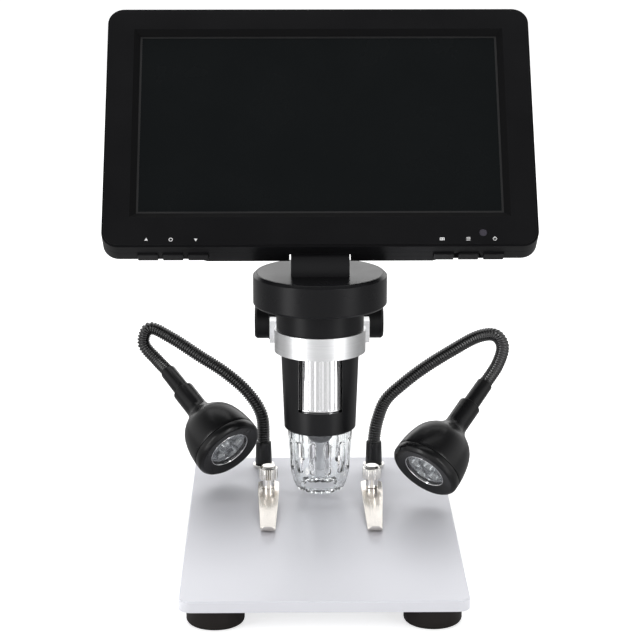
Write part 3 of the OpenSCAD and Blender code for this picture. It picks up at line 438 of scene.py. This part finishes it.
SCREEN_BLACK = moulded("screen black moulding", (0.0068, 0.0068, 0.0076), 0.32, 0.4, 5200, 0.003,
                       Specular_IOR_Level=0.13)
HEAD_BLACK = moulded("head black moulding", (0.0085, 0.0085, 0.0096), 0.26, 0.34, 5200, 0.002,
                     Specular_IOR_Level=0.17)
TUBE_BLACK = moulded("tube black moulding", (0.009, 0.009, 0.01), 0.28, 0.36, 4200, 0.002,
                     Specular_IOR_Level=0.22)
# Painted shade: a darker, duller copy of the screen black, for the sunk border round the display.
BORDER_PAINTED_SHADE = moulded("display border painted shade", (0.006, 0.006, 0.0064), 0.5, 0.6, 5200, 0.002,
                       Specular_IOR_Level=0.04)
KEY_BLACK = moulded("key black rubber", (0.007, 0.007, 0.0078), 0.36, 0.46, 4200, 0.004,
                    Specular_IOR_Level=0.3)
KNOB_BLACK = moulded("knob black moulding", (0.007, 0.007, 0.0076), 0.36, 0.46, 4200, 0.003,
                     Specular_IOR_Level=0.2)
FOOT_RUBBER = moulded("foot rubber", (0.0155, 0.0125, 0.0118), 0.6, 0.75, 2600, 0.012,
                      Specular_IOR_Level=0.2)
LAMP_BLACK = moulded("lamp black moulding", (0.005, 0.005, 0.0056), 0.26, 0.34, 4800, 0.003,
                     Specular_IOR_Level=0.32)
NECK_BLACK = moulded("gooseneck black sleeve", (0.007, 0.007, 0.0073), 0.2, 0.28, 2400, 0.004,
                     Specular_IOR_Level=0.9)
FERRULE_BLACK = moulded("ferrule black sleeve", (0.0065, 0.0065, 0.007), 0.14, 0.22, 1800, 0.004,
                        Specular_IOR_Level=0.45)
DISPLAY_BLACK = moulded("display glass", (0.0066, 0.0078, 0.0084), 0.22, 0.28, 9000, 0.0008,
                        Specular_IOR_Level=0.12)
MASK_BLACK = moulded("display mask", (0.005, 0.005, 0.0055), 0.45, 0.55, 5200, 0.002)
PRINT_WHITE = moulded("printed white", (0.78, 0.78, 0.78), 0.5, 0.6, 5200, 0.001, 0.05)
BOARD_GREEN = moulded("circuit board", (0.012, 0.075, 0.035), 0.35, 0.5, 2500, 0.004)
CELL_SILVER = moulded("battery pouch", (0.5, 0.54, 0.6), 0.3, 0.45, 900, 0.02)
CHIP_BLACK = moulded("chip package", (0.02, 0.02, 0.022), 0.5, 0.6, 5200, 0.003)
LED_YELLOW = moulded("light phosphor", (0.75, 0.68, 0.16), 0.3, 0.4, 3000, 0.004)
RING_WHITE = moulded("light ring board", (0.75, 0.76, 0.78), 0.4, 0.5, 3000, 0.003, 0.05)
NOSE_GREY = moulded("lens barrel grey", (0.085, 0.085, 0.092), 0.25, 0.35, 5200, 0.002)
WINDOW_GREY = moulded("remote window", (0.06, 0.055, 0.07), 0.12, 0.2, 5200, 0.001)
PLATE_METAL = moulded("anodised plate", (0.84, 0.845, 0.895), 0.44, 0.5, 5200, 0.0006, 0.015,
                      Metallic=0.25)
RING_METAL = brushed("turned ring", (0.86, 0.865, 0.875), 0.28, 0.4, (60, 60, 3200), 0.003, 0.1)
COLUMN_METAL = brushed("polished column", (0.72, 0.72, 0.73), 0.12, 0.22, (900, 900, 20), 0.001)
CHROME = brushed("bright chrome", (0.86, 0.86, 0.87), 0.05, 0.1, (300, 300, 300), 0.0005, 0.02)
CUP_CHROME = brushed("plated cups", (0.36, 0.37, 0.38), 0.08, 0.16, (300, 300, 300), 0.0005, 0.1)
SCREW_STEEL = brushed("screw steel", (0.6, 0.6, 0.6), 0.2, 0.32, (400, 400, 400), 0.002)
CLIP_NICKEL = brushed("clip nickel", (0.86, 0.82, 0.77), 0.16, 0.26, (1200, 20, 1200), 0.0006)
NUT_NICKEL = brushed("nut nickel", (0.84, 0.82, 0.79), 0.08, 0.16, (500, 500, 500), 0.001)
HOOD_CLEAR = clear_plastic("clear hood plastic", (0.97, 0.985, 0.99), 0.03)
LENS_CLEAR = clear_plastic("lamp window plastic", (0.97, 0.98, 0.98), 0.02)
OPTIC_GLASS = clear_plastic("objective glass", (0.9, 0.95, 1.0), 0.0, 1.52)


# ---- pieces that keep their CAD shape --------------------------------------------------------

ROUNDED = [
    ("base_plate", "base", 0.45, PLATE_METAL),
    ("feet", "base", 0.6, FOOT_RUBBER),
    ("column_cap", "base", 0.4, KNOB_BLACK),
    ("lamp_nuts", "base", 0.2, NUT_NICKEL),
    ("clip_posts", "base", 0.15, NUT_NICKEL),
    ("clip_left", "clip_left", 0.12, CLIP_NICKEL),
    ("clip_right", "clip_right", 0.12, CLIP_NICKEL),
    ("clip_knob_left", "clip_knob_left", 0.12, NUT_NICKEL),
    ("clip_knob_right", "clip_knob_right", 0.12, NUT_NICKEL),
    ("ring_bracket", "carriage", 0.35, RING_METAL),
    ("carriage_housing", "carriage", 0.8, HEAD_BLACK),
    ("focus_knob_left", "focus_drive", 0.3, KNOB_BLACK),
    ("focus_knob_right", "focus_drive", 0.3, KNOB_BLACK),
    ("head_body", "head", 0.22, HEAD_BLACK),
    ("head_cap", "head", 0.22, HEAD_BLACK),
    ("tube_shell", "head", 0.25, TUBE_BLACK),
    ("clear_hood", "head", 0.2, HOOD_CLEAR),
    ("focus_wheel", "focus_wheel", 0.12, CHROME),
    ("front_bezel", "screen", 0.5, SCREEN_BLACK),
    ("rear_housing", "screen", 0.6, SCREEN_BLACK),
    ("key_up", "key_up", 1.1, KEY_BLACK),
    ("key_select", "key_select", 1.1, KEY_BLACK),
    ("key_down", "key_down", 1.1, KEY_BLACK),
    ("key_photo", "key_photo", 1.1, KEY_BLACK),
    ("key_menu", "key_menu", 1.1, KEY_BLACK),
    ("key_power", "key_power", 1.1, KEY_BLACK),
    ("lamp_left_ferrule", "lamp_left_arm", 0.25, FERRULE_BLACK),
    ("lamp_right_ferrule", "lamp_right_arm", 0.25, FERRULE_BLACK),
]
KEPT = {
    "column": COLUMN_METAL, "column_bolt": SCREW_STEEL, "foot_screws": SCREW_STEEL,
    "cable_glands": KNOB_BLACK, "slide_bushes": NUT_NICKEL, "shaft_bushes": NUT_NICKEL,
    "carriage_screws": SCREW_STEEL, "pinion_shaft": SCREW_STEEL, "head_screws": SCREW_STEEL,
    "sensor_board": BOARD_GREEN, "image_sensor": CHIP_BLACK, "led_ring": RING_WHITE,
    "lens_barrel": NOSE_GREY, "objective_lens": OPTIC_GLASS, "hinge_pin": SCREW_STEEL,
    "main_board": BOARD_GREEN, "battery": CELL_SILVER, "key_board": BOARD_GREEN,
    "remote_window": WINDOW_GREY, "housing_screws": SCREW_STEEL,
    "lamp_left_reflector": CUP_CHROME, "lamp_right_reflector": CUP_CHROME,
}


def paint_shade_on_display_border(bezel):
    """Paints shade on the sloping border round the display: its sunk faces get a darker, duller
    copy of the bezel's black.
    """
    bezel.data.materials.append(BORDER_PAINTED_SHADE)
    to_screen = ON_SCREEN.inverted()
    turn = to_screen.to_3x3()
    border, behind_face, border_depth = 3, 0.02, 2.1
    squarest, most_turned = -0.97, 0.1
    half = VIEW_W / 2 + border
    low, high = VIEW_LOW - border, VIEW_LOW + VIEW_H + border
    for face in bezel.data.polygons:
        spot = to_screen @ face.center / MM
        slope = (turn @ face.normal).y
        within = abs(spot.x) < half and low < spot.z < high
        sunk = behind_face < spot.y < border_depth
        if within and sunk and squarest < slope < most_turned:
            face.material_index = 1


def dress_cad_pieces():
    dressed = {}
    for node, body, width, material in ROUNDED:
        dressed[node] = from_cad(node, body, width, material)
    paint_shade_on_display_border(dressed["front_bezel"])
    for node, material in KEPT.items():
        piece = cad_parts[node]
        piece.data.materials.clear()
        piece.data.materials.append(material)


# ---- screen ----------------------------------------------------------------------------------

def display():
    """The display: a glass plate with a black mask round its picture."""
    edge, front, back = 2.3, 2.05, 4.8
    mask, picture_depth = 0.9, 0.12
    piece = block(
        "display_glass",
        (-VIEW_W / 2 - edge, front, VIEW_LOW - edge),
        (VIEW_W / 2 + edge, back, VIEW_LOW + VIEW_H + edge),
    )
    edit_faces(piece)
    select_faces(piece, lambda centre, normal: normal.y < -0.9)
    bpy.ops.mesh.inset(thickness=(edge + mask) * MM, depth=0)
    bpy.ops.mesh.extrude_region_move(
        TRANSFORM_OT_translate={"value": (0, picture_depth * MM, 0)}
    )
    bpy.ops.object.mode_set(mode="OBJECT")
    front_faces = (face for face in piece.data.polygons if face.normal.y < -0.9)
    picture = max(front_faces, key=lambda face: face.area).index
    piece.data.materials.append(MASK_BLACK)
    piece.data.materials.append(DISPLAY_BLACK)
    piece.data.polygons[picture].material_index = 1
    put(piece, ON_SCREEN)
    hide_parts("display_panel")
    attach(piece, "screen")


def print_mark(name, x, up, sides, radius, turn=0.0, stretch=(1, 1), hole=0.0):
    """A small printed mark on the bezel's face, standing a little proud of it."""
    thickness, proud = 0.12, 0.05
    deselect_all()
    bpy.ops.mesh.primitive_circle_add(vertices=sides, radius=radius * MM, fill_type="NGON")
    piece = named(name)
    piece.rotation_euler = (pi / 2, turn, 0)
    bpy.ops.object.transform_apply(location=False, rotation=True, scale=True)
    piece.scale = (stretch[0], 1, stretch[1])
    bpy.ops.object.transform_apply(location=False, rotation=False, scale=True)
    bpy.ops.object.mode_set(mode="EDIT")
    bpy.ops.mesh.select_all(action="SELECT")
    if hole:
        bpy.ops.mesh.inset(thickness=(radius - hole) * MM, depth=0)
        bpy.ops.mesh.delete(type="FACE")
        bpy.ops.mesh.select_all(action="SELECT")
    bpy.ops.mesh.extrude_region_move(TRANSFORM_OT_translate={"value": (0, thickness * MM, 0)})
    close_up()
    put(piece, ON_SCREEN @ Matrix.Translation((x * MM, -proud * MM, up * MM)))
    finish_piece(piece, "screen", PRINT_WHITE)


def printed_marks():
    """Plain signs over the keys: arrows, a ring, a camera, three lines and a power sign."""
    up, square_on = 3.1, pi / 4
    photo_x, menu_x, power_x = 50.2, 61, 72
    print_mark("mark_up", -71.8, up, 3, 0.85)
    print_mark("mark_select", -61.7, up, 24, 0.85, hole=0.55)
    print_mark("mark_down", -51.4, up, 3, 0.85, turn=pi)
    print_mark("mark_photo_case", photo_x, up, 4, 1.25, square_on, (1.1, 0.72), 0.88)
    print_mark("mark_photo_lens", photo_x, up, 16, 0.32)
    for i, rise in enumerate((-0.62, 0, 0.62)):
        print_mark("mark_menu_%d" % i, menu_x, up + rise, 4, 1.2, square_on, (1, 0.17))
    print_mark("mark_power_ring", power_x, up, 24, 0.85, hole=0.6)
    print_mark("mark_power_bar", power_x, up + 0.7, 4, 0.6, square_on, (0.32, 1))


# ---- lamps -----------------------------------------------------------------------------------

def lamp_foot(lamp):
    return Vector((lamp["side"] * LAMP_FOOT[0], LAMP_FOOT[1], LAMP_FOOT[2]))


def lamp_place(lamp):
    """The place of a lamp's head: its own axis, from the sleeve's end to the window, along z."""
    aim = Vector(lamp["aim"])
    end = lamp_foot(lamp) + Vector(lamp["route"][-1])
    lean = acos(aim.z / aim.length)
    turn = atan2(aim.y, aim.x)
    return (
        Matrix.Translation(end * MM)
        @ Matrix.Rotation(turn, 4, "Z")
        @ Matrix.Rotation(lean, 4, "Y")
    )


def lamp_turning(name, profile, place, smooth=SMOOTH, closed=True):
    """A turned piece of a lamp's head, in its place."""
    piece = turned(name, profile, closed)
    bpy.ops.object.shade_smooth_by_angle(angle=radians(smooth))
    put(piece, place)
    return piece


def lamp_shade(side, place):
    """The lamp's sleeve and bell, with the moulded steps of its sleeve."""
    face = LAMP_FACE
    profile = [
        (2.95, 0.25), (3.15, 0.02), (3.38, 0.2), (3.5, 0.8), (3.58, SLEEVE - 1.4),
        (3.58, SLEEVE - 0.1), (3.7, SLEEVE + 0.02), (4.5, SLEEVE + 0.06), (4.78, SLEEVE + 0.3),
        (4.85, SLEEVE + 0.8), (4.85, SLEEVE + 10.8), (4.86, face - 27.4), (5.0, face - 26.4),
        (5.5, face - 25.2), (6.5, face - 23.9), (8.0, face - 22.5), (9.7, face - 21.1),
        (11.2, face - 19.5), (12.35, face - 17.8), (13.3, face - 15.8), (14.05, face - 13.4),
        (14.65, face - 10.7), (15.05, face - 8), (15.24, face - 5.6), (15.28, face - 4.6),
        (15.2, face - 4.35), (14.95, face - 4.25), (13.7, face - 4.25), (13.4, face - 8),
        (12.6, face - 12), (10.5, face - 17), (7, face - 21), (1.7, face - 24), (1.7, 6),
        (2.95, 6),
    ]
    piece = lamp_turning("lamp_%s_shade_turned" % side, profile, place)
    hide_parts("lamp_%s_shade" % side)
    finish_piece(piece, "lamp_%s_head" % side, LAMP_BLACK)


def lamp_bezel(side, place):
    """The ring round the lamp's window, with a rounded rim and a coned face."""
    face = LAMP_FACE
    profile = [
        (9.3, face - 2), (9.3, face - 0.95), (9.5, face - 0.7), (13.4, face - 0.06),
        (13.7, face - 0.04), (14.2, face - 0.22), (14.7, face - 0.66), (15.1, face - 1.25),
        (15.26, face - 1.65), (15.3, face - 2), (15.3, face - 2.4), (15.28, face - 3.85),
        (15.2, face - 4.0), (14.95, face - 4.1), (11.5, face - 4.1), (11.5, face - 2),
    ]
    piece = lamp_turning("lamp_%s_bezel_turned" % side, profile, place)
    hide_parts("lamp_%s_bezel" % side)
    finish_piece(piece, "lamp_%s_head" % side, LAMP_BLACK)


def lamp_window(side, place):
    """The clear window, with a rounded rim that stands in the ring."""
    face = LAMP_FACE
    profile = [
        (11.3, face - 3.3), (11.35, face - 3.2), (11.35, face - 2.2), (11.25, face - 2.1),
        (9.1, face - 2.1), (9.05, face - 1.5), (8.85, face - 1.25), (8.5, face - 1.2),
        (4.0, face - 1.15),
    ]
    piece = lamp_turning("lamp_%s_window_turned" % side, profile, place, closed=False)
    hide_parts("lamp_%s_lens" % side)
    finish_piece(piece, "lamp_%s_head" % side, LENS_CLEAR)


def lamp_lip(side, place):
    """The thin bright lip between the window and its ring."""
    face = LAMP_FACE
    profile = [
        (8.95, face - 1.35), (8.92, face - 1.0), (8.98, face - 0.84), (9.1, face - 0.78),
        (9.22, face - 0.84), (9.27, face - 1.0), (9.27, face - 1.35),
    ]
    piece = lamp_turning("lamp_%s_window_lip" % side, profile, place, smooth=50)
    finish_piece(piece, "lamp_%s_head" % side, CHROME)


def lamp_lights(side, place):
    """Four yellow lights at the bottoms of the bright cups."""
    off_axis, up = 4.65, LAMP_FACE - 7.82
    half, thick, rim = 1, 0.5, 0.25
    for i in range(4):
        spot = radians(45 + 90 * i)
        chip = block("lamp_%s_light_%d" % (side, i), (-half, -half, 0), (half, half, thick))
        edit_faces(chip)
        select_faces(chip, lambda centre, normal: normal.z > 0.9)
        bpy.ops.mesh.inset(thickness=rim * MM, depth=0)
        bpy.ops.mesh.extrude_region_move(TRANSFORM_OT_translate={"value": (0, 0, rim * MM)})
        bpy.ops.transform.resize(value=(0.8, 0.8, 1), center_override=(0, 0, 0))
        bpy.ops.object.mode_set(mode="OBJECT")
        soften(chip, 0.08)
        where = Matrix.Translation((
            off_axis * cos(spot) * MM, off_axis * sin(spot) * MM, up * MM
        ))
        put(chip, place @ where)
        finish_piece(chip, "lamp_%s_head" % side, LED_YELLOW)


def spline(a, b, c, d, t):
    """The point at a share t of the way from b to c, on the curve through all four."""
    return 0.5 * (2 * b + (c - a) * t + (2 * a - 5 * b + 4 * c - d) * t * t
                  + (3 * b - a - 3 * c + d) * t * t * t)


def smooth_route(points):
    """The smooth curve through the listed points, as the CAD draws it."""
    steps = 16
    route = [Vector(p) for p in points]
    first = 2 * route[0] - route[1]
    last = 2 * route[-1] - route[-2]
    padded = [first] + route + [last]
    curve = []
    for i in range(len(route) - 1):
        a, b, c, d = padded[i:i + 4]
        curve += [spline(a, b, c, d, k / steps) for k in range(steps)]
    return curve + [route[-1]]


def neck_path(lamp, points):
    """The lamp's route as a curve object, for the neck to follow."""
    line = bpy.data.curves.new("lamp route", "CURVE")
    line.dimensions = "3D"
    line.twist_mode = "MINIMUM"
    run = line.splines.new("POLY")
    run.points.add(len(points) - 1)
    for point, spot in zip(run.points, points):
        point.co = (*((spot + lamp_foot(lamp)) * MM), 1)
    path = bpy.data.objects.new("lamp_route", line)
    bpy.context.scene.collection.objects.link(path)
    return path


def one_rib(name, pitch):
    """A single rib, open at both ends, ready to be repeated."""
    low, high = NECK_R - NECK_GROOVE, NECK_R
    shoulder = high - NECK_ROUNDING
    deselect_all()
    bpy.ops.mesh.primitive_circle_add(vertices=NECK_SIDES, radius=low * MM)
    piece = named(name)
    bpy.ops.object.mode_set(mode="EDIT")
    bpy.ops.mesh.select_mode(type="EDGE")
    bpy.ops.mesh.select_all(action="SELECT")
    draw_out([
        (low, 0), (low, 0.14 * pitch), (shoulder, 0.34 * pitch), (high, 0.57 * pitch),
        (shoulder, 0.8 * pitch), (low, pitch),
    ])
    bpy.ops.mesh.select_all(action="SELECT")
    bpy.ops.mesh.normals_make_consistent(inside=False)
    bpy.ops.object.mode_set(mode="OBJECT")
    return piece


def gooseneck(side, lamp):
    """The ribbed neck: one rib, repeated and laid along the lamp's route."""
    aim = Vector(lamp["aim"]).normalized()
    points = [Vector((0, 0, NECK_START))] + [Vector(p) for p in lamp["route"]]
    points.append(points[-1] + NECK_INTO_SLEEVE * aim)
    curve_points = smooth_route(points)
    length = sum((b - a).length for a, b in zip(curve_points, curve_points[1:]))
    pitch = length / NECK_RIBS
    piece = one_rib("lamp_%s_neck_ribbed" % side, pitch)
    repeat = piece.modifiers.new("ribs", "ARRAY")
    repeat.count = NECK_RIBS
    repeat.use_relative_offset = False
    repeat.use_constant_offset = True
    repeat.constant_offset_displace = (0, 0, pitch * MM)
    repeat.use_merge_vertices = True
    repeat.merge_threshold = MERGE_RIBS * MM
    path = neck_path(lamp, curve_points)
    follow = piece.modifiers.new("follow the route", "CURVE")
    follow.object = path
    follow.deform_axis = "POS_Z"
    apply_modifiers(piece)
    bpy.data.objects.remove(path)
    bpy.ops.object.mode_set(mode="EDIT")
    bpy.ops.mesh.select_all(action="DESELECT")
    bpy.ops.mesh.select_mode(type="EDGE")
    bpy.ops.mesh.select_non_manifold()
    bpy.ops.mesh.edge_face_add()
    close_up()
    bpy.ops.object.shade_smooth()
    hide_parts("lamp_%s_neck" % side)
    piece.data.materials.append(NECK_BLACK)
    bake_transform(piece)


def lamps():
    for side, lamp in LAMPS.items():
        place = lamp_place(lamp)
        lamp_shade(side, place)
        lamp_bezel(side, place)
        lamp_window(side, place)
        lamp_lip(side, place)
        lamp_lights(side, place)
        gooseneck(side, lamp)


# ---- studio ----------------------------------------------------------------------------------

def floor():
    """The pale floor. Glossy pieces mirror it with two bright bands in front and darker sides."""
    size, middle_y = 14, 3
    pale, dim_side = 0.86, 0.3
    dim_from, dim_to, dimmest = radians(70), radians(100), 0.7
    lift_to_white = 0.66
    bright_bands = ((-58, 2.6), (55, 1.3))
    band_half_width = radians(22)
    deselect_all()
    bpy.ops.mesh.primitive_plane_add(size=size, location=(0, middle_y, 0))
    piece = named("floor")
    bpy.ops.object.transform_apply(location=True, rotation=True, scale=True)
    material, tree, shader = new_material("pale floor")
    shader["Roughness"].default_value = 0.8
    shader["Specular IOR Level"].default_value = 0.2
    rays = tree.nodes.new("ShaderNodeLightPath").outputs
    seen = tree.maths("MAXIMUM", rays["Is Camera Ray"], rays["Is Transmission Ray"])
    place = tree.split("Object")
    round_by = tree.maths("ARCTAN2", place["X"], tree.maths("MULTIPLY", place["Y"], -1))
    bands = 0
    for azimuth, strength in bright_bands:
        away = tree.maths("ABSOLUTE", tree.maths("SUBTRACT", round_by, radians(azimuth)))
        band = tree.spread(away, 0, band_half_width, strength, 0, "SMOOTHERSTEP")
        bands = tree.maths("ADD", bands, band)
    mirrored = tree.maths("MULTIPLY", rays["Is Glossy Ray"], bands)
    aside = tree.maths("ABSOLUTE", round_by)
    dim = tree.spread(aside, dim_from, dim_to, 0, dimmest)
    dimmed = tree.maths("MULTIPLY", dim, rays["Is Glossy Ray"])
    tree.feed(shader["Base Color"], tree.spread(dimmed, 0, 1, pale, dim_side))
    shader["Emission Color"].default_value = (1, 1, 1, 1)
    lift = tree.maths("MULTIPLY_ADD", seen, lift_to_white, mirrored)
    tree.feed(shader["Emission Strength"], lift)
    piece.data.materials.append(material)


def surroundings():
    """White to the sides and dim overhead in reflections, a soft even light otherwise."""
    even_light, overhead = 0.42, 0.14
    fade_from, fade_to = 0.35, 0.8
    world = bpy.data.worlds.new("studio")
    bpy.context.scene.world = world
    world.use_nodes = True
    tree = Tree(world.node_tree)
    back = tree.nodes["Background"].inputs
    rays = tree.nodes.new("ShaderNodeLightPath").outputs
    fade = tree.spread(tree.split("Generated")["Z"], fade_from, fade_to, 1, overhead)
    seen = tree.maths("MAXIMUM", rays["Is Camera Ray"], rays["Is Transmission Ray"])
    lit = tree.spread(rays["Is Glossy Ray"], 0, 1, even_light, fade)
    tree.feed(back["Strength"], tree.spread(seen, 0, 1, lit, 1))
    back["Color"].default_value = (1, 1, 1, 1)


def soft_light(name, place, width, height, power):
    """A soft light that looks at the middle of the object."""
    aim = Vector((0, 0.02, 0.09))
    data = bpy.data.lights.new(name, "AREA")
    data.shape = "RECTANGLE"
    data.size = width
    data.size_y = height
    data.energy = power
    light = bpy.data.objects.new(name, data)
    bpy.context.scene.collection.objects.link(light)
    light.location = place
    light.rotation_euler = (aim - Vector(place)).to_track_quat("-Z", "Y").to_euler()


def studio_lights():
    soft_light("left soft light", (-0.95, -0.75, 0.5), 0.25, 0.9, 4.6)
    soft_light("right soft light", (0.75, -0.95, 0.5), 0.22, 0.9, 3.7)
    soft_light("top soft light", (0, 0.35, 1.2), 1.2, 0.8, 5)
    soft_light("rear soft light", (0, 1.3, 0.66), 2.2, 0.9, 4.8)


def camera():
    """The photograph's view: a little to the left, and looking down by 14 degrees."""
    data = bpy.data.cameras.new("camera")
    data.lens = 129.375
    data.sensor_width = 36
    eye = bpy.data.objects.new("camera", data)
    bpy.context.scene.collection.objects.link(eye)
    swing, look_down, reach, height = radians(0.8), radians(14), 0.942, 0.3254
    eye.location = (-reach * sin(swing), OPTICAL_Y * MM - reach * cos(swing), height)
    eye.rotation_euler = (pi / 2 - look_down, 0, -swing)
    bpy.context.scene.camera = eye


camera()
surroundings()
studio_lights()
floor()
dress_cad_pieces()
display()
printed_marks()
lamps()
bpy.context.scene.view_settings.view_transform = "Standard"
